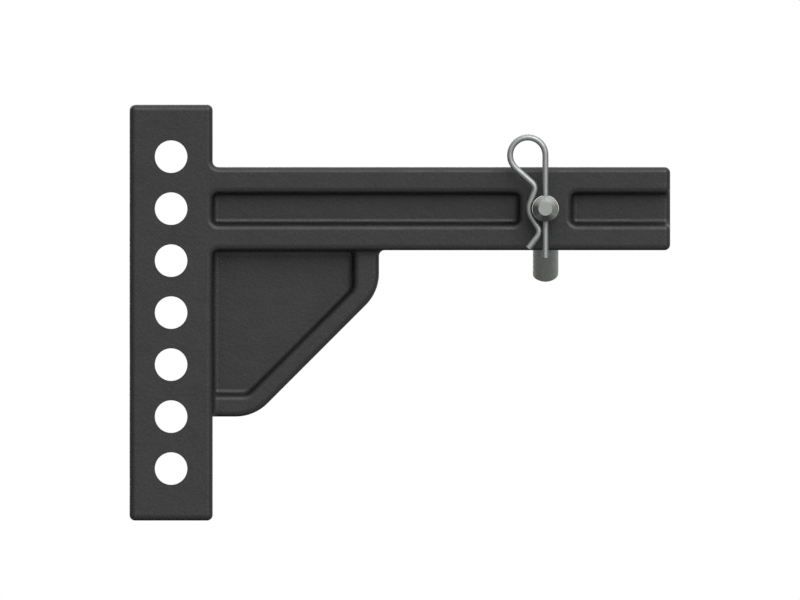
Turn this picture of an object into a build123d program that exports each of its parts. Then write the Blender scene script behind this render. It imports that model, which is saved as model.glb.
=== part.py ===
from build123d import *
import os
from math import cos, radians, sin, sqrt

os.makedirs("parts", exist_ok=True)

# Adjustable hitch shank with its bent hitch pin and spring clip, in millimetres.
# The origin is where the shank's centre line crosses the pin hole. +X runs along the shank to
# the end that goes into the receiver, +Z is up, and the clip is fitted on the -Y side.

# Forging as a whole
forging_thickness = 50.8  # bar and shank are flush with each other on both sides
edge_radius = 3.5  # every outer and inner edge of the forging is blended to this radius

# Upright bar
bar_width = 50.8
bar_height = 254.0
bar_rise = 63.5  # top of the bar above the shank's centre line

# Bolt holes in the bar
hole_count = 7
hole_pitch = 31.75
hole_diameter = 19.84  # clears a 19.05 mm bolt

# Shank
shank_height = 50.8
pin_to_bar = 203.2  # centre of the pin hole to the bar
pin_to_end = 76.2  # centre of the pin hole to the free end
pin_land = 31.75  # full-thickness block left round the pin hole
shank_web = 25.4  # thickness between the floors of opposite pockets
flange_height = 15.875

# Gusset between the bar and the shank's underside
gusset_reach = 101.6  # along the shank, from the bar
gusset_drop = 101.6  # down the bar, from the shank's underside
gusset_slope = 76.2  # height of the 45 degree edge, as wide as it is high
gusset_corner_radius = 27.4
gusset_thickness = 31.75
gusset_web = 12.7
rim_front_width = 15.6
rim_slope_width = 12.2
rim_foot_width = 13.4
gusset_floor_radius = 3.9  # corners of the flat pocket floor

# Hitch pin
pin_diameter = 15.875
pin_bore_clearance = 0.4  # on the diameter
pin_usable_length = 76.2  # from the start of the bend to the clip
nose_reach = 12.0  # from the clip's plane to the tip
nose_taper_length = 4.5
nose_flat_diameter = 8.5
bend_radius = 16.0  # to the pin's centre line
handle_angle = 50.0  # between the handle and the pin's axis
handle_length = 52.6  # from the corner of the two centre lines to the handle's end
handle_chamfer = 1.1

# Spring clip
wire_diameter = 3.76
cross_hole_clearance = 0.64  # on the diameter
grip_gap = 0.15  # between the bowed leg and the pin
loop_radius = 10.8  # to the wire's centre line
loop_rise = 32.7  # centre of the loop above the pin's axis
straight_leg_drop = 30.4  # end of the straight leg below the pin's axis
loop_end_angle = 228.0  # where the wire leaves the loop, counted from +X
grip_start_angle = 159.0  # where the bowed leg starts to follow the pin
grip_end_angle = 212.0  # and where it stops
upper_crest_radius = 5.0
lower_crest_radius = 5.5
lower_crest_drop = 14.24  # corner of the leg's lower bend below the pin's axis
tail_heading = -127.5
tail_drop = 24.4  # cut end of the bowed leg below the pin's axis
wire_end_chamfer = 0.4

# Places that follow from the sizes above
half_thickness = forging_thickness / 2
bar_face = -pin_to_bar
bar_middle = (bar_face - bar_width / 2, bar_rise - bar_height / 2)
shank_middle = ((pin_to_end - pin_to_bar) / 2, 0)
underside = -shank_height / 2
gusset_front = bar_face + gusset_reach
gusset_foot = underside - gusset_drop
pin_bore_diameter = pin_diameter + pin_bore_clearance
bend_start = pin_usable_length / 2
clip_plane = -pin_usable_length / 2 - wire_diameter / 2
nose_tip = clip_plane - nose_reach


def heading_vector(angle):
    """Unit vector at an angle from the first axis of the working plane."""
    return Vector(cos(radians(angle)), sin(radians(angle)))


def meeting_point(start, heading, other_start, other_heading):
    """Where two straight runs in the working plane cross."""
    along = heading_vector(heading)
    across = heading_vector(other_heading)
    gap = other_start - start
    turn = along.X * across.Y - along.Y * across.X
    distance = (gap.X * across.Y - gap.Y * across.X) / turn
    return start + along * distance


# Hitch shank: bar, shank and gusset forged in one piece
with BuildPart() as hitch_shank:
    with BuildSketch(Plane.XZ):
        with Locations(bar_middle):
            Rectangle(bar_width, bar_height)
        with Locations(shank_middle):
            Rectangle(pin_to_bar + pin_to_end, shank_height)
    extrude(amount=half_thickness, both=True)

    # Gusset, drawn back into the bar and the shank so that the three are one body
    with BuildSketch(Plane.XZ) as gusset_outline:
        with BuildLine():
            Polyline(
                (bar_face - bar_width / 2, 0),
                (gusset_front, 0),
                (gusset_front, gusset_foot + gusset_slope),
                (gusset_front - gusset_slope, gusset_foot),
                (bar_face - bar_width / 2, gusset_foot),
                close=True,
            )
        make_face()
        slope_corners = (
            gusset_outline.vertices().group_by(Axis.X)[-1].sort_by(Axis.Y)[0],
            gusset_outline.vertices().group_by(Axis.Y)[0].sort_by(Axis.X)[-1],
        )
        fillet(slope_corners, gusset_corner_radius)
    extrude(amount=gusset_thickness / 2, both=True)

    # Pockets, the same on both sides
    pocket_front = gusset_front - rim_front_width
    pocket_foot = gusset_foot + rim_foot_width
    slope_rise = gusset_foot + gusset_slope - gusset_front + rim_slope_width * sqrt(2)
    for side in (-1, 1):
        with BuildSketch(Plane.XZ.offset(side * shank_web / 2)):
            with Locations((bar_face, 0)):
                Rectangle(
                    pin_to_bar - pin_land / 2,
                    shank_height - 2 * flange_height,
                    align=(Align.MIN, Align.CENTER),
                )
            with Locations((pin_land / 2, 0)):
                Rectangle(
                    pin_to_end,
                    shank_height - 2 * flange_height,
                    align=(Align.MIN, Align.CENTER),
                )
        extrude(amount=side * half_thickness, mode=Mode.SUBTRACT)

        with BuildSketch(Plane.XZ.offset(side * gusset_web / 2)) as gusset_pocket:
            with BuildLine():
                Polyline(
                    (bar_face, underside),
                    (pocket_front, underside),
                    (pocket_front, pocket_front + slope_rise),
                    (pocket_foot - slope_rise, pocket_foot),
                    (bar_face, pocket_foot),
                    close=True,
                )
            make_face()
            pocket_corners = (
                gusset_pocket.vertices().group_by(Axis.X)[-1].sort_by(Axis.Y)[0],
                gusset_pocket.vertices().group_by(Axis.Y)[0].sort_by(Axis.X)[-1],
            )
            fillet(pocket_corners, gusset_floor_radius + edge_radius)
        extrude(amount=side * gusset_thickness / 2, mode=Mode.SUBTRACT)

    fillet(hitch_shank.edges(), edge_radius)

    # The gusset's foot meets the bar square, with no blend under it
    with BuildSketch(Plane.XZ):
        with Locations((bar_face, gusset_foot)):
            Rectangle(gusset_reach, 2 * edge_radius, align=(Align.MIN, Align.MAX))
    extrude(amount=half_thickness, both=True, mode=Mode.SUBTRACT)

    # Bolt holes and pin hole, drilled after forging, so their rims are sharp
    with BuildSketch(Plane.XZ):
        with Locations(bar_middle):
            with GridLocations(hole_pitch, hole_pitch, 1, hole_count):
                Circle(hole_diameter / 2)
        Circle(pin_bore_diameter / 2)
    extrude(amount=half_thickness, both=True, mode=Mode.SUBTRACT)

# Hitch pin: one bent bar with a tapered nose and a cross hole for the clip
with BuildPart() as hitch_pin:
    bend_corner = bend_start + bend_radius * sin(radians(handle_angle)) / (
        1 + cos(radians(handle_angle))
    )
    handle_end = Vector(bend_corner, 0) + heading_vector(-handle_angle) * handle_length
    with BuildLine(Plane.YZ) as pin_line:
        FilletPolyline(
            (nose_tip, 0),
            (bend_corner, 0),
            (handle_end.X, handle_end.Y),
            radius=bend_radius,
        )
    with BuildSketch(Plane(origin=pin_line.line @ 0, z_dir=pin_line.line % 0)):
        Circle(pin_diameter / 2)
    sweep()
    nose_rim = hitch_pin.edges().group_by(Axis.Y)[0]
    chamfer(nose_rim, nose_taper_length, (pin_diameter - nose_flat_diameter) / 2)
    handle_rim = hitch_pin.faces().sort_by(Axis.Z)[0].edges()
    chamfer(handle_rim, handle_chamfer)
    with BuildSketch(Plane.XY):
        with Locations((0, clip_plane)):
            Circle((wire_diameter + cross_hole_clearance) / 2)
    extrude(amount=pin_diameter, both=True, mode=Mode.SUBTRACT)

# Spring clip: one length of round wire bent in a plane across the pin
with BuildPart() as spring_clip:
    grip_radius = (pin_diameter + wire_diameter) / 2 + grip_gap
    loop_centre = Vector(-loop_radius, loop_rise)
    loop_end = loop_centre + heading_vector(loop_end_angle) * loop_radius
    grip_start = heading_vector(grip_start_angle) * grip_radius
    grip_end = heading_vector(grip_end_angle) * grip_radius
    upper_crest = meeting_point(loop_end, loop_end_angle + 90, grip_start, grip_start_angle + 90)
    belly = meeting_point(grip_start, grip_start_angle + 90, grip_end, grip_end_angle + 90)
    foot_run = heading_vector(grip_end_angle + 90)
    lower_crest = grip_end - foot_run * ((lower_crest_drop + grip_end.Y) / foot_run.Y)
    tail_run = heading_vector(tail_heading)
    tail_end = lower_crest - tail_run * ((tail_drop + lower_crest.Y) / tail_run.Y)
    with BuildLine(Plane.XZ.offset(-clip_plane)) as clip_line:
        Line((0, -straight_leg_drop), (0, loop_rise))
        CenterArc((loop_centre.X, loop_centre.Y), loop_radius, 0, loop_end_angle)
        FilletPolyline(
            (loop_end.X, loop_end.Y),
            (upper_crest.X, upper_crest.Y),
            (belly.X, belly.Y),
            (lower_crest.X, lower_crest.Y),
            (tail_end.X, tail_end.Y),
            radius=(upper_crest_radius, grip_radius, lower_crest_radius),
        )
    with BuildSketch(Plane(origin=clip_line.line @ 0, z_dir=clip_line.line % 0)):
        Circle(wire_diameter / 2)
    sweep()
    cut_ends = spring_clip.faces().filter_by(GeomType.PLANE).edges()
    chamfer(cut_ends, wire_end_chamfer)

hitch_shank.part.label = "hitch_shank"
hitch_pin.part.label = "hitch_pin"
spring_clip.part.label = "spring_clip"

export_step(hitch_shank.part, "parts/hitch_shank.step")
export_step(hitch_pin.part, "parts/hitch_pin.step")
export_step(spring_clip.part, "parts/spring_clip.step")
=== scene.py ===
"""Studio scene of an adjustable hitch shank with its bent hitch pin and spring clip.

The file is laid out as an add-on and run as a script. Lengths are in metres unless a name says
otherwise. +X runs along the shank to the receiver, +Z is up, and the clip is on the -Y side.
"""

import math

import bpy
from mathutils import Matrix, Vector


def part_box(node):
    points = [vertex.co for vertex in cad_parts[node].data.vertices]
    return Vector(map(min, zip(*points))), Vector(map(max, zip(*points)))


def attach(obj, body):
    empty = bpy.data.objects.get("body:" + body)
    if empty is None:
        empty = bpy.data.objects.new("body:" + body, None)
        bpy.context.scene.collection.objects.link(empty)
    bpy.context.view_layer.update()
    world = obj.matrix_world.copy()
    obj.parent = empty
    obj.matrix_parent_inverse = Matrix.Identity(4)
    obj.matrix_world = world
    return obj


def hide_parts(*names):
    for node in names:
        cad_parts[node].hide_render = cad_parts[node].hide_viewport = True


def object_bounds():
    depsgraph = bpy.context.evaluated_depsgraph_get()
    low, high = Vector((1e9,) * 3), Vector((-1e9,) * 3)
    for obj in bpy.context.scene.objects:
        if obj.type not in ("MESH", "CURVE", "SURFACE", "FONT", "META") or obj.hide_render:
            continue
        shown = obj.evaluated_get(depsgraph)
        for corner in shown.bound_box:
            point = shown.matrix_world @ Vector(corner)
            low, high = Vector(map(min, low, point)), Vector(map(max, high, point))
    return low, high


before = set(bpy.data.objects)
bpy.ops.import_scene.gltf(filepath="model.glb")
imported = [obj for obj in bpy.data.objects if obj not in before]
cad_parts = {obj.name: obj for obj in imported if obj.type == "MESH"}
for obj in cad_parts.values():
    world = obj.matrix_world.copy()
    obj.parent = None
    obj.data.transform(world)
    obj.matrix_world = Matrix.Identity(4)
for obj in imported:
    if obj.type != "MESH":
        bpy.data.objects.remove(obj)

bl_info = {
    "name": "Hitch shank scene",
    "version": (1, 0, 0),
    "blender": (4, 5, 0),
    "location": "3D View > Sidebar > Hitch shank",
    "description": "Finishes a forged hitch shank, bends its pin and clip, and lights them",
    "category": "Object",
}

MM = 0.001
CAD_LOW, CAD_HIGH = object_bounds()
PIN_LOW, PIN_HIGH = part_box("hitch_pin")
CLIP_LOW, CLIP_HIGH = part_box("spring_clip")

X_AXIS = Vector((1, 0, 0))
Y_AXIS = Vector((0, 1, 0))
Z_AXIS = Vector((0, 0, 1))

BAR_SIDES = 64  # round the pin
WIRE_SIDES = 32  # round the clip's wire
DEGREES_PER_STEP = 6  # along a bend
FEWEST_STEPS = 3  # in the shortest bend
WELD_DISTANCE = 0.001 * MM  # points that lie nearer than this are made one
SMOOTH_BELOW = math.radians(30)  # edges that turn by less are shaded smooth
NOISE_LOW = 0.35  # most values of a noise texture lie above this
NOISE_HIGH = 0.65  # and below this


def linear(hex_colour):
    """Linear colour from an sRGB hex value."""
    channels = [int(hex_colour[i : i + 2], 16) / 255 for i in (1, 3, 5)]
    return tuple(c / 12.92 if c <= 0.04045 else ((c + 0.055) / 1.055) ** 2.4 for c in channels)


def add_node(tree, kind, inputs=None, **settings):
    """Adds a node with its settings. Each input takes a value, or a socket to link from."""
    made = tree.nodes.new(kind)
    for name, value in settings.items():
        setattr(made, name, value)
    for name, value in (inputs or {}).items():
        if isinstance(value, bpy.types.NodeSocket):
            tree.links.new(value, made.inputs[name])
        else:
            made.inputs[name].default_value = value
    return made


def new_material(name):
    """An empty material, with its node tree."""
    material = bpy.data.materials.new(name)
    material.use_nodes = True
    material.node_tree.nodes.clear()
    return material, material.node_tree


def powder_coated_forging(look):
    """Satin black powder coat on forged steel.

    The coat gives a near-black, slightly soft gloss. It flows into an orange peel that breaks up
    the light on the rounded edges, and grains of powder leave a fine speckle. The die-forged
    faces underneath are a little wavy, so that reflections never run quite straight. The peel is
    drawn twice as coarse as it is and the speckle about ten times, so that they show.
    """
    material, tree = new_material("satin_powder_coat_on_forged_steel")
    place = add_node(tree, "ShaderNodeTexCoord").outputs["Object"]
    grains = add_node(
        tree,
        "ShaderNodeTexNoise",
        {"Vector": place, "Scale": 1 / look.grain_spacing, "Detail": 2.0},
    )
    peel = add_node(
        tree,
        "ShaderNodeTexNoise",
        {"Vector": place, "Scale": 1 / look.peel_spacing, "Detail": 1.5},
    )
    waves = add_node(
        tree,
        "ShaderNodeTexNoise",
        {"Vector": place, "Scale": 1 / look.wave_spacing, "Detail": 2.5},
    )
    speckle = add_node(
        tree,
        "ShaderNodeMapRange",
        {"Value": grains.outputs["Fac"], "From Min": NOISE_LOW, "From Max": NOISE_HIGH},
    )
    tint = add_node(
        tree,
        "ShaderNodeMix",
        {6: (*look.thick_coat, 1), 7: (*look.thin_coat, 1), "Factor": speckle.outputs["Result"]},
        data_type="RGBA",
    )
    gloss = add_node(
        tree,
        "ShaderNodeMapRange",
        {
            "Value": waves.outputs["Fac"],
            "From Min": NOISE_LOW,
            "From Max": NOISE_HIGH,
            "To Min": look.roughness - look.roughness_spread,
            "To Max": look.roughness + look.roughness_spread,
        },
    )
    wavy = add_node(
        tree,
        "ShaderNodeBump",
        {"Height": waves.outputs["Fac"], "Distance": look.wave_height, "Strength": 1.0},
    )
    peeled = add_node(
        tree,
        "ShaderNodeBump",
        {
            "Height": peel.outputs["Fac"],
            "Distance": look.peel_height,
            "Strength": 1.0,
            "Normal": wavy.outputs["Normal"],
        },
    )
    coat = add_node(
        tree,
        "ShaderNodeBsdfPrincipled",
        {
            "Base Color": tint.outputs[2],
            "Roughness": gloss.outputs["Result"],
            "Specular IOR Level": look.specular_level,
            "Normal": peeled.outputs["Normal"],
        },
    )
    add_node(tree, "ShaderNodeOutputMaterial", {"Surface": coat.outputs["BSDF"]})
    return material


def zinc_plated_steel(name, look, grain_stretch):
    """Clear zinc plate over drawn steel.

    The plate is a cool grey metal with a fine, uneven mottle, duller where it lies thick. The
    draw marks of the steel show through it as faint streaks. Both are drawn several times as
    coarse as they are so that they show.
    """
    material, tree = new_material(name)
    place = add_node(tree, "ShaderNodeTexCoord").outputs["Object"]
    stretched = add_node(tree, "ShaderNodeMapping", {"Vector": place, "Scale": grain_stretch})
    streaks = add_node(
        tree,
        "ShaderNodeTexNoise",
        {"Vector": stretched.outputs["Vector"], "Scale": 1 / look.grain_spacing, "Detail": 3.0},
    )
    mottle = add_node(
        tree,
        "ShaderNodeTexNoise",
        {"Vector": place, "Scale": 1 / look.mottle_spacing, "Detail": 4.0},
    )
    thickness = add_node(
        tree,
        "ShaderNodeMapRange",
        {"Value": mottle.outputs["Fac"], "From Min": NOISE_LOW, "From Max": NOISE_HIGH},
    )
    dull = tuple((1 - look.mottle_depth) * channel for channel in look.colour)
    tint = add_node(
        tree,
        "ShaderNodeMix",
        {6: (*look.colour, 1), 7: (*dull, 1), "Factor": thickness.outputs["Result"]},
        data_type="RGBA",
    )
    gloss = add_node(
        tree,
        "ShaderNodeMapRange",
        {
            "Value": thickness.outputs["Result"],
            "To Min": look.roughness - look.roughness_spread,
            "To Max": look.roughness + look.roughness_spread,
        },
    )
    grain = add_node(
        tree,
        "ShaderNodeBump",
        {"Height": streaks.outputs["Fac"], "Distance": look.grain_height, "Strength": 1.0},
    )
    plate = add_node(
        tree,
        "ShaderNodeBsdfPrincipled",
        {
            "Base Color": tint.outputs[2],
            "Metallic": 1.0,
            "Roughness": gloss.outputs["Result"],
            "Normal": grain.outputs["Normal"],
        },
    )
    add_node(tree, "ShaderNodeOutputMaterial", {"Surface": plate.outputs["BSDF"]})
    return material


def floor_paper(colour):
    """Matt pale studio paper, with no shine of its own."""
    material, tree = new_material("matt_studio_paper")
    paper = add_node(
        tree,
        "ShaderNodeBsdfPrincipled",
        {"Base Color": (*colour, 1), "Roughness": 0.9, "Specular IOR Level": 0.1},
    )
    add_node(tree, "ShaderNodeOutputMaterial", {"Surface": paper.outputs["BSDF"]})
    return material


def dress(piece, material):
    """Gives every slot of a piece the one material."""
    piece.data.materials.clear()
    piece.data.materials.append(material)


class OpenEnd:
    """The free end of a round bar that is drawn out in edit mode, run by run and bend by bend."""

    def __init__(self, name, start, heading, plane_normal, sides, radius, lead_in):
        """Starts the bar with a disc and a chamfer or taper up to its full radius."""
        self.place = start
        self.heading = heading
        self.plane_normal = plane_normal
        start_radius, taper_length = lead_in
        bpy.ops.object.select_all(action="DESELECT")
        facing = Z_AXIS.rotation_difference(heading).to_euler()
        bpy.ops.mesh.primitive_circle_add(
            vertices=sides, radius=start_radius, fill_type="NGON", location=start, rotation=facing
        )
        self.piece = bpy.context.object
        self.piece.name = name
        self.piece.data.name = name
        bpy.ops.object.transform_apply(location=True, rotation=True, scale=True)
        bpy.ops.object.mode_set(mode="EDIT")
        bpy.ops.mesh.select_all(action="SELECT")
        self.straight(taper_length)
        self.resize(radius / start_radius)

    def straight(self, length):
        """Carries the end on in a straight run."""
        run = self.heading * length
        bpy.ops.mesh.extrude_region_move(TRANSFORM_OT_translate={"value": run})
        self.place = self.place + run

    def resize(self, factor):
        """Makes the end larger or smaller about its own centre."""
        bpy.ops.transform.resize(value=(factor, factor, factor), center_override=self.place)

    def bend(self, angle, radius):
        """Carries the end round a bend, to the left of its plane where the angle is positive."""
        inward = self.plane_normal.cross(self.heading) * math.copysign(radius, angle)
        centre = self.place + inward
        steps = max(FEWEST_STEPS, round(math.degrees(abs(angle)) / DEGREES_PER_STEP))
        bpy.ops.mesh.spin(steps=steps, angle=-angle, center=centre, axis=self.plane_normal)
        turn = Matrix.Rotation(angle, 3, self.plane_normal)
        self.place = centre - turn @ inward
        self.heading = turn @ self.heading

    def finish(self, end_radius_share, taper_length):
        """Ends the bar with a chamfer, closes the mesh and smooths it."""
        self.straight(taper_length)
        self.resize(end_radius_share)
        bpy.ops.mesh.select_all(action="SELECT")
        bpy.ops.mesh.remove_doubles(threshold=WELD_DISTANCE)
        bpy.ops.mesh.normals_make_consistent(inside=False)
        bpy.ops.object.mode_set(mode="OBJECT")
        bpy.ops.object.shade_smooth_by_angle(angle=SMOOTH_BELOW)
        return self.piece


def heading_at(angle):
    """Unit vector in the clip's plane, at an angle from +X towards +Z."""
    return Vector((math.cos(angle), 0, math.sin(angle)))


def crossing(start, heading, other_start, other_heading):
    """Where two straight runs in the clip's plane cross."""
    gap = other_start - start
    turn = heading.x * other_heading.z - heading.z * other_heading.x
    distance = (gap.x * other_heading.z - gap.z * other_heading.x) / turn
    return start + heading * distance


def length_property(name, description, default):
    """A length in metres, as a user would change it."""
    return bpy.props.FloatProperty(
        name=name, description=description, default=default, subtype="DISTANCE", precision=6, min=0.0
    )


def angle_property(name, description, degrees):
    """An angle that is given in degrees and kept in radians."""
    return bpy.props.FloatProperty(
        name=name, description=description, default=math.radians(degrees), subtype="ANGLE"
    )


def colour_property(name, description, hex_colour):
    """A colour that is given as an sRGB hex value and kept linear."""
    return bpy.props.FloatVectorProperty(
        name=name, description=description, default=linear(hex_colour), subtype="COLOR", min=0, max=1
    )


def share_property(name, description, default):
    """A share from 0 to 1, such as a roughness."""
    return bpy.props.FloatProperty(
        name=name, description=description, default=default, subtype="FACTOR", min=0.0, max=1.0
    )


def number_property(name, description, default, subtype="NONE"):
    """A plain number, such as a brightness or a place in the picture."""
    return bpy.props.FloatProperty(
        name=name, description=description, default=default, subtype=subtype, precision=3
    )


class ForgingLook(bpy.types.PropertyGroup):
    """Finish of the forged shank."""

    thick_coat: colour_property("Thick coat", "Colour where the powder lies thick", "#171717")
    thin_coat: colour_property("Thin coat", "Colour where the powder lies thin", "#242424")
    roughness: share_property("Roughness", "Roughness of the coat", 0.42)
    roughness_spread: share_property("Roughness spread", "How far it varies either way", 0.05)
    specular_level: share_property("Specular", "Specular level of the coat", 0.36)
    peel_spacing: length_property("Peel spacing", "Orange peel, from dimple to dimple", 2.0 * MM)
    peel_height: length_property("Peel height", "Depth of the orange peel", 0.09 * MM)
    grain_spacing: length_property("Grain spacing", "Speckle of the powder", 0.9 * MM)
    wave_spacing: length_property("Wave spacing", "Waviness of the forged faces", 14.0 * MM)
    wave_height: length_property("Wave height", "Height of that waviness", 0.22 * MM)


class PinSizes(bpy.types.PropertyGroup):
    """Sizes and finish of the bent hitch pin."""

    diameter: length_property("Diameter", "Diameter of the bar", PIN_HIGH.x - PIN_LOW.x)
    nose_flat: length_property("Nose flat", "Diameter of the flat on the tip", 8.5 * MM)
    nose_taper: length_property("Nose taper", "Length of the tapered tip", 4.5 * MM)
    usable_length: length_property("Usable length", "From the clip to the bend", 76.2 * MM)
    bend_radius: length_property("Bend radius", "To the bar's centre line", 16.0 * MM)
    handle_angle: angle_property("Handle angle", "Between the handle and the pin's axis", 50.0)
    handle_length: length_property("Handle length", "From the corner of the centre lines", 52.6 * MM)
    handle_chamfer: length_property("Handle chamfer", "Chamfer on the cut end", 1.1 * MM)
    hole_clearance: length_property("Hole clearance", "Cross hole over the wire", 0.64 * MM)
    colour: colour_property("Zinc", "Colour of the clear zinc plate", "#9b9e9b")
    roughness: share_property("Roughness", "Roughness of the plate", 0.34)
    roughness_spread: share_property("Roughness spread", "How far it varies either way", 0.06)
    mottle_spacing: length_property("Mottle spacing", "Uneven patches of the plate", 1.4 * MM)
    mottle_depth: share_property("Mottle depth", "How much darker the thick patches are", 0.2)
    grain_spacing: length_property("Grain spacing", "From one draw mark to the next", 0.9 * MM)
    grain_height: length_property("Grain height", "Height of the draw marks", 0.006 * MM)


class ClipSizes(bpy.types.PropertyGroup):
    """Sizes and finish of the spring clip."""

    wire: length_property("Wire", "Diameter of the spring wire", CLIP_HIGH.y - CLIP_LOW.y)
    loop_radius: length_property("Loop radius", "To the wire's centre line", 10.8 * MM)
    loop_rise: length_property("Loop rise", "Centre of the loop above the pin's axis", 32.7 * MM)
    leg_drop: length_property("Leg drop", "End of the straight leg below the axis", 30.4 * MM)
    loop_end: angle_property("Loop end", "Where the wire leaves the loop", 228.0)
    grip_start: angle_property("Grip start", "Where the bowed leg meets the pin", 159.0)
    grip_end: angle_property("Grip end", "Where the bowed leg leaves the pin", 212.0)
    grip_gap: length_property("Grip gap", "Between the bowed leg and the pin", 0.15 * MM)
    upper_crest: length_property("Upper crest", "Radius of the upper bend", 5.0 * MM)
    lower_crest: length_property("Lower crest", "Radius of the lower bend", 5.5 * MM)
    crest_drop: length_property("Crest drop", "Corner of the lower bend below the axis", 14.24 * MM)
    tail_heading: angle_property("Tail heading", "Which way the tail points", -127.5)
    tail_drop: length_property("Tail drop", "Cut end of the bowed leg below the axis", 24.4 * MM)
    end_chamfer: length_property("End chamfer", "Chamfer on the cut ends", 0.4 * MM)
    colour: colour_property("Bright zinc", "Colour of the plated spring wire", "#929494")
    roughness: share_property("Roughness", "Roughness of the plate", 0.48)
    roughness_spread: share_property("Roughness spread", "How far it varies either way", 0.04)
    mottle_spacing: length_property("Mottle spacing", "Uneven patches of the plate", 2.0 * MM)
    mottle_depth: share_property("Mottle depth", "How much darker the thick patches are", 0.12)
    grain_spacing: length_property("Grain spacing", "From one draw mark to the next", 0.5 * MM)
    grain_height: length_property("Grain height", "Height of the draw marks", 0.002 * MM)


class StudioSettings(bpy.types.PropertyGroup):
    """Camera, floor, lamps and world."""

    pixels_per_mm: number_property("Photo scale", "Photograph's pixels for each millimetre", 1.6374)
    pin_across: number_property("Pin across", "From the photograph's left edge", 545.4, "PIXEL")
    pin_down: number_property("Pin down", "From the photograph's top edge", 208.65, "PIXEL")
    floor_colour: colour_property("Floor", "Colour of the studio paper", "#e0e0e0")
    sun_strength: number_property("Sun strength", "Soft key light from above and in front", 2.3)
    back_strength: number_property("Back strength", "Soft light from above and behind", 1.3)
    sun_elevation: angle_property("Sun elevation", "Height of the key light", 32.0)
    sun_azimuth: angle_property("Sun azimuth", "Key light, from the front towards +X", 22.0)
    back_elevation: angle_property("Back elevation", "Height of the back light", 20.0)
    back_azimuth: angle_property("Back azimuth", "Back light, from the front towards +X", 205.0)
    sun_spread: angle_property("Sun spread", "Apparent width of both lights", 50.0)
    fill: share_property("Fill", "Share of the room that lights matt surfaces", 0.5)
    room_above: number_property("Room above", "Brightness overhead", 1.6)
    room_level: number_property("Room level", "Brightness in front and behind", 0.72)
    room_left: number_property("Room left", "Brightness beyond the bar", 0.34)
    room_right: number_property("Room right", "Brightness beyond the shank's free end", 0.6)
    room_below: number_property("Room below", "Brightness below and behind", 0.06)


class HITCH_SHANK_OT_finish_forging(bpy.types.Operator):
    """Coat the forged bar, shank and gusset"""

    bl_idname = "hitch_shank.finish_forging"
    bl_label = "Finish forging"

    def execute(self, context):
        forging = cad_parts["hitch_shank"]
        dress(forging, powder_coated_forging(context.scene.forging_look))
        return {"FINISHED"}


class HITCH_SHANK_OT_bend_pin(bpy.types.Operator):
    """Bend the hitch pin from round bar and drill its cross hole"""

    bl_idname = "hitch_shank.bend_pin"
    bl_label = "Bend pin"

    def execute(self, context):
        sizes = context.scene.pin_sizes
        wire = context.scene.clip_sizes.wire
        radius = sizes.diameter / 2
        bend_start = sizes.usable_length / 2
        clip_plane = -sizes.usable_length / 2 - wire / 2
        lead_in = (sizes.nose_flat / 2, sizes.nose_taper)
        nose_tip = Vector((0, PIN_LOW.y, 0))
        end = OpenEnd("bent_pin", nose_tip, Y_AXIS, X_AXIS, BAR_SIDES, radius, lead_in)
        end.straight(bend_start - end.place.y)
        end.bend(-sizes.handle_angle, sizes.bend_radius)
        corner_length = sizes.bend_radius * math.tan(sizes.handle_angle / 2)
        end.straight(sizes.handle_length - corner_length - sizes.handle_chamfer)
        pin = end.finish(1 - sizes.handle_chamfer / radius, sizes.handle_chamfer)

        hole_radius = (wire + sizes.hole_clearance) / 2
        bpy.ops.object.select_all(action="DESELECT")
        bpy.ops.mesh.primitive_cylinder_add(
            vertices=WIRE_SIDES,
            radius=hole_radius,
            depth=2 * sizes.diameter,
            location=(0, clip_plane, 0),
        )
        drill = context.object
        bpy.ops.object.transform_apply(location=True, rotation=True, scale=True)
        bpy.ops.object.select_all(action="DESELECT")
        pin.select_set(True)
        context.view_layer.objects.active = pin
        drilled = pin.modifiers.new("cross_hole", "BOOLEAN")
        drilled.operation = "DIFFERENCE"
        drilled.solver = "EXACT"
        drilled.object = drill
        bpy.ops.object.modifier_apply(modifier=drilled.name)
        bpy.data.objects.remove(drill)
        bpy.ops.object.shade_smooth_by_angle(angle=SMOOTH_BELOW)

        along_pin = (1, 0.08, 1)
        dress(pin, zinc_plated_steel("clear_zinc_on_drawn_bar", sizes, along_pin))
        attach(pin, "pin")
        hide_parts("hitch_pin")
        return {"FINISHED"}


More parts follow.
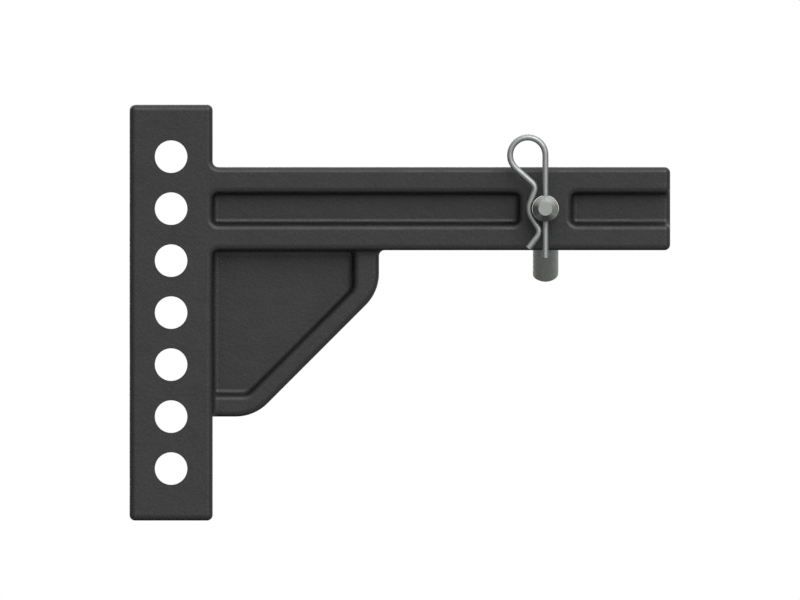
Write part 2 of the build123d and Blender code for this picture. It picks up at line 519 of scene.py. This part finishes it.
class HITCH_SHANK_OT_bend_clip(bpy.types.Operator):
    """Bend the spring clip from one length of wire"""

    bl_idname = "hitch_shank.bend_clip"
    bl_label = "Bend clip"

    def execute(self, context):
        sizes = context.scene.clip_sizes
        pin_diameter = context.scene.pin_sizes.diameter
        radius = sizes.wire / 2
        plane_y = Vector((0, (CLIP_LOW.y + CLIP_HIGH.y) / 2, 0))
        grip_radius = (pin_diameter + sizes.wire) / 2 + sizes.grip_gap
        quarter = math.pi / 2

        # Corners of the bowed leg's centre line, as straight runs before the bends are rounded
        loop_centre = Vector((-sizes.loop_radius, 0, sizes.loop_rise)) + plane_y
        loop_end = loop_centre + heading_at(sizes.loop_end) * sizes.loop_radius
        grip_start = heading_at(sizes.grip_start) * grip_radius + plane_y
        grip_end = heading_at(sizes.grip_end) * grip_radius + plane_y
        down_loop = heading_at(sizes.loop_end + quarter)
        down_grip = heading_at(sizes.grip_start + quarter)
        out_grip = heading_at(sizes.grip_end + quarter)
        tail_run = heading_at(sizes.tail_heading)
        upper_corner = crossing(loop_end, down_loop, grip_start, down_grip)
        belly_corner = crossing(grip_start, down_grip, grip_end, out_grip)
        lower_corner = grip_end - out_grip * ((sizes.crest_drop + grip_end.z) / out_grip.z)
        tail_end = lower_corner - tail_run * ((sizes.tail_drop + lower_corner.z) / tail_run.z)

        # Each bend is the turn from one run's heading to the next, to the left where positive
        corners = (
            (upper_corner, sizes.grip_start - sizes.loop_end, sizes.upper_crest),
            (belly_corner, sizes.grip_end - sizes.grip_start, grip_radius),
            (lower_corner, sizes.tail_heading + 3 * quarter - sizes.grip_end, sizes.lower_crest),
        )

        start = Vector((0, 0, -sizes.leg_drop)) + plane_y
        lead_in = (radius - sizes.end_chamfer, sizes.end_chamfer)
        end = OpenEnd("clip_wire", start, Z_AXIS, -Y_AXIS, WIRE_SIDES, radius, lead_in)
        end.straight(sizes.leg_drop + sizes.loop_rise - sizes.end_chamfer)
        end.bend(sizes.loop_end, sizes.loop_radius)
        for corner, turn, bend_radius in corners:
            rounding = bend_radius * math.tan(abs(turn) / 2)
            end.straight((corner - end.place).length - rounding)
            end.bend(turn, bend_radius)
        end.straight((tail_end - end.place).length - sizes.end_chamfer)
        clip = end.finish(1 - sizes.end_chamfer / radius, sizes.end_chamfer)

        along_legs = (1, 1, 0.1)
        dress(clip, zinc_plated_steel("bright_zinc_on_spring_wire", sizes, along_legs))
        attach(clip, "clip")
        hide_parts("spring_clip")
        return {"FINISHED"}


class HITCH_SHANK_OT_set_stage(bpy.types.Operator):
    """Lay the floor, set the lamps and the world, and place the camera"""

    bl_idname = "hitch_shank.set_stage"
    bl_label = "Set stage"

    def execute(self, context):
        studio = context.scene.studio_settings
        self.lay_floor(context, studio)
        self.place_lamps(context, studio)
        self.paint_world(context, studio)
        self.place_camera(context, studio)
        return {"FINISHED"}

    def lay_floor(self, context, studio):
        """A wide sheet of pale paper under the bar's foot."""
        floor_width = 20
        bpy.ops.object.select_all(action="DESELECT")
        bpy.ops.mesh.primitive_plane_add(size=floor_width, location=(0, 0, CAD_LOW.z))
        floor = context.object
        floor.name = "studio_floor"
        bpy.ops.object.transform_apply(location=True, rotation=True, scale=True)
        dress(floor, floor_paper(studio.floor_colour))
        # Shiny undersides see the dim part of the room instead of the bright paper
        floor.visible_glossy = False

    def place_lamps(self, context, studio):
        """A wide, soft key light in front and a weaker one behind, both from above."""
        lamps = (
            ("soft_key", studio.sun_strength, studio.sun_elevation, studio.sun_azimuth),
            ("soft_back", studio.back_strength, studio.back_elevation, studio.back_azimuth),
        )
        for name, strength, elevation, azimuth in lamps:
            lamp = bpy.data.lights.new(name, "SUN")
            lamp.energy = strength
            lamp.angle = studio.sun_spread
            outward = math.cos(elevation)
            towards = Vector(
                (outward * math.sin(azimuth), -outward * math.cos(azimuth), math.sin(elevation))
            )
            placed = bpy.data.objects.new(name, lamp)
            placed.location = towards
            placed.rotation_euler = towards.to_track_quat("Z", "Y").to_euler()
            context.collection.objects.link(placed)

    def room_brightness(self, tree, studio):
        """The room's level, with a share of it for each way: above, below, left and right."""
        place = add_node(tree, "ShaderNodeTexCoord").outputs["Generated"]
        aim = add_node(tree, "ShaderNodeSeparateXYZ", {"Vector": place}).outputs
        # Undersides are darkest where they look down and away from the camera
        up_and_forward = (0, -0.5, 0.87)
        lean = add_node(
            tree,
            "ShaderNodeVectorMath",
            {0: place, 1: up_and_forward},
            operation="DOT_PRODUCT",
        )
        level = studio.room_level
        # Each row is a way, where its change starts and where it ends, with the share there
        changes = (
            (aim["Z"], (0.0, 1.0), (1.0, studio.room_above / level)),
            (lean.outputs["Value"], (-0.95, studio.room_below / level), (-0.5, 1.0)),
            (aim["X"], (-1.0, studio.room_left / level), (-0.2, 1.0)),
            (aim["X"], (0.2, 1.0), (1.0, studio.room_right / level)),
        )
        room = level
        for way, start, end in changes:
            share = add_node(
                tree,
                "ShaderNodeMapRange",
                {
                    "Value": way,
                    "From Min": start[0],
                    "From Max": end[0],
                    "To Min": start[1],
                    "To Max": end[1],
                },
                interpolation_type="SMOOTHSTEP",
            )
            changed = add_node(
                tree,
                "ShaderNodeMath",
                {0: room, 1: share.outputs["Result"]},
                operation="MULTIPLY",
            )
            room = changed.outputs[0]
        return room

    def paint_world(self, context, studio):
        """White for the camera, and a room for light and reflections that is brightest overhead."""
        world = bpy.data.worlds.new("white_room")
        world.use_nodes = True
        tree = world.node_tree
        tree.nodes.clear()
        room = self.room_brightness(tree, studio)
        lit = add_node(tree, "ShaderNodeMath", {0: room, 1: studio.fill}, operation="MULTIPLY")
        ray = add_node(tree, "ShaderNodeLightPath")
        mirrored = add_node(
            tree,
            "ShaderNodeMath",
            {0: ray.outputs["Is Glossy Ray"], 1: ray.outputs["Is Transmission Ray"]},
            operation="ADD",
            use_clamp=True,
        )
        unseen = add_node(
            tree,
            "ShaderNodeMix",
            {"Factor": mirrored.outputs[0], 2: lit.outputs[0], 3: room},
            data_type="FLOAT",
        )
        strength = add_node(
            tree,
            "ShaderNodeMix",
            {"Factor": ray.outputs["Is Camera Ray"], 2: unseen.outputs[0], 3: 1.0},
            data_type="FLOAT",
        )
        white = add_node(
            tree,
            "ShaderNodeBackground",
            {"Color": (1, 1, 1, 1), "Strength": strength.outputs[0]},
        )
        add_node(tree, "ShaderNodeOutputWorld", {"Surface": white.outputs["Background"]})
        context.scene.world = world
        context.scene.view_settings.view_transform = "Standard"

    def place_camera(self, context, studio):
        """A level side view without perspective, framed as the photograph is."""
        photo_width, photo_height = 800, 600  # pixels
        pixel = MM / studio.pixels_per_mm
        lens = bpy.data.cameras.new("side_view")
        lens.type = "ORTHO"
        lens.ortho_scale = photo_width * pixel
        camera = bpy.data.objects.new("side_view", lens)
        across = (photo_width / 2 - studio.pin_across) * pixel
        up = (studio.pin_down - photo_height / 2) * pixel
        distance = 1.5
        camera.location = (across, -distance, up)
        camera.rotation_euler = (math.pi / 2, 0, 0)
        context.collection.objects.link(camera)
        context.scene.camera = camera


class HITCH_SHANK_PT_panel(bpy.types.Panel):
    """Lists the steps that build the scene, with their sizes and colours"""

    bl_idname = "HITCH_SHANK_PT_panel"
    bl_label = "Hitch shank"
    bl_space_type = "VIEW_3D"
    bl_region_type = "UI"
    bl_category = "Hitch shank"

    def draw(self, context):
        for step, group_name in STEPS:
            box = self.layout.box()
            box.operator(step.bl_idname)
            group = getattr(context.scene, group_name)
            for setting in group.__annotations__:
                box.prop(group, setting)


GROUPS = {
    "forging_look": ForgingLook,
    "pin_sizes": PinSizes,
    "clip_sizes": ClipSizes,
    "studio_settings": StudioSettings,
}

STEPS = (
    (HITCH_SHANK_OT_finish_forging, "forging_look"),
    (HITCH_SHANK_OT_bend_pin, "pin_sizes"),
    (HITCH_SHANK_OT_bend_clip, "clip_sizes"),
    (HITCH_SHANK_OT_set_stage, "studio_settings"),
)


def register():
    for name, group in GROUPS.items():
        bpy.utils.register_class(group)
        setattr(bpy.types.Scene, name, bpy.props.PointerProperty(type=group))
    for step, _ in STEPS:
        bpy.utils.register_class(step)
    bpy.utils.register_class(HITCH_SHANK_PT_panel)


def unregister():
    bpy.utils.unregister_class(HITCH_SHANK_PT_panel)
    for step, _ in reversed(STEPS):
        bpy.utils.unregister_class(step)
    for name, group in reversed(GROUPS.items()):
        delattr(bpy.types.Scene, name)
        bpy.utils.unregister_class(group)


def main():
    """Registers the add-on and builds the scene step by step."""
    register()
    bpy.ops.hitch_shank.finish_forging()
    bpy.ops.hitch_shank.bend_pin()
    bpy.ops.hitch_shank.bend_clip()
    bpy.ops.hitch_shank.set_stage()


if __name__ == "__main__":
    main()
